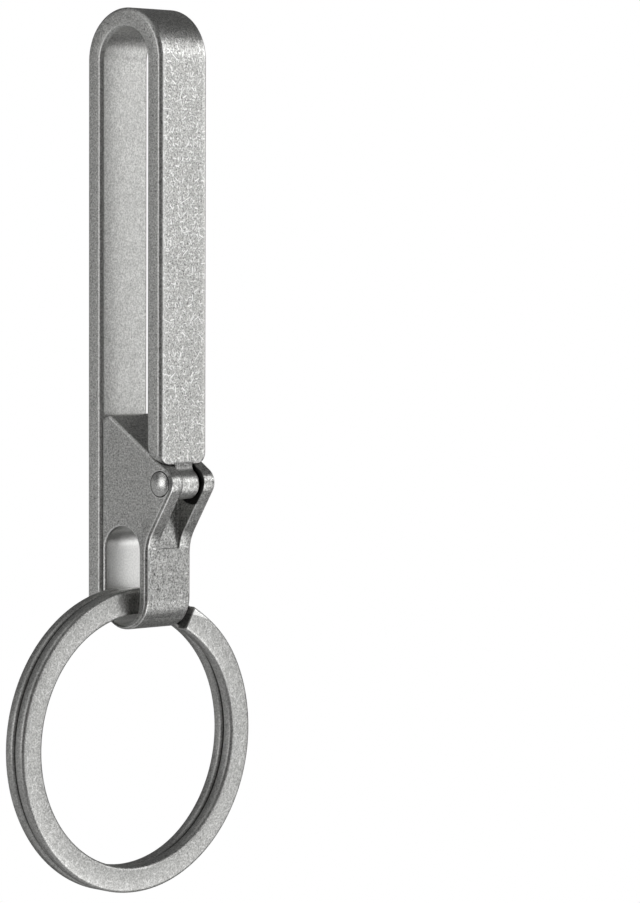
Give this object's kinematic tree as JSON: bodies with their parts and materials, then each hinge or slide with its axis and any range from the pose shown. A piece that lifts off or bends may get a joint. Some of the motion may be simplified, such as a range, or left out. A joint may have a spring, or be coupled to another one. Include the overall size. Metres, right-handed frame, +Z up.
{
  "type": "belt key clip",
  "caption": "Slim titanium belt hook of bent flat bar with a swinging gate lever on a domed rivet and a flat-wire split ring that hangs in the lever's slot.",
  "frame": {"origin": "under the crown of the hook, where the belt's top edge bears, midway between the arms and on the width's middle plane", "axes": "+X from the back arm to the front arm, +Y along the belt and the rivet, +Z up"},
  "size_m": [0.0122, 0.0321, 0.0923],
  "materials": {
    "hook_titanium": "stonewashed titanium, satin with fine light scratches and worn edges",
    "lever_titanium": "stonewashed titanium, satin with light scratches on the front face",
    "rivet_titanium": "tumbled titanium, smooth",
    "ring_titanium": "fine blasted titanium"
  },
  "bodies": {
    "clip": {"clip_frame": "hook_titanium"},
    "spring_arm": {"spring_arm": "hook_titanium"},
    "gate": {"gate_lever": "lever_titanium", "pivot_rivet": "rivet_titanium"},
    "ring": {"split_ring": "ring_titanium"}
  },
  "joints": [
    {"name": "arm_flex", "type": "hinge", "parent": "clip", "child": "spring_arm", "pos_m": [-0.00537, 0, -0.00328], "axis": [0, 1, 0], "range_deg": [0, 4], "stiffness_Nm_per_rad": 13.6},
    {"name": "gate_hinge", "type": "hinge", "parent": "clip", "child": "gate", "pos_m": [0.00515, 0, -0.04715], "axis": [0, -1, 0], "range_deg": [0, 140], "deforming": ["spring_arm"]},
    {"name": "ring_swing", "type": "hinge", "parent": "gate", "child": "ring", "pos_m": [-0.00032, 0, -0.0596], "axis": [0, -1, 0], "range_deg": [-150, 75]}
  ]
}
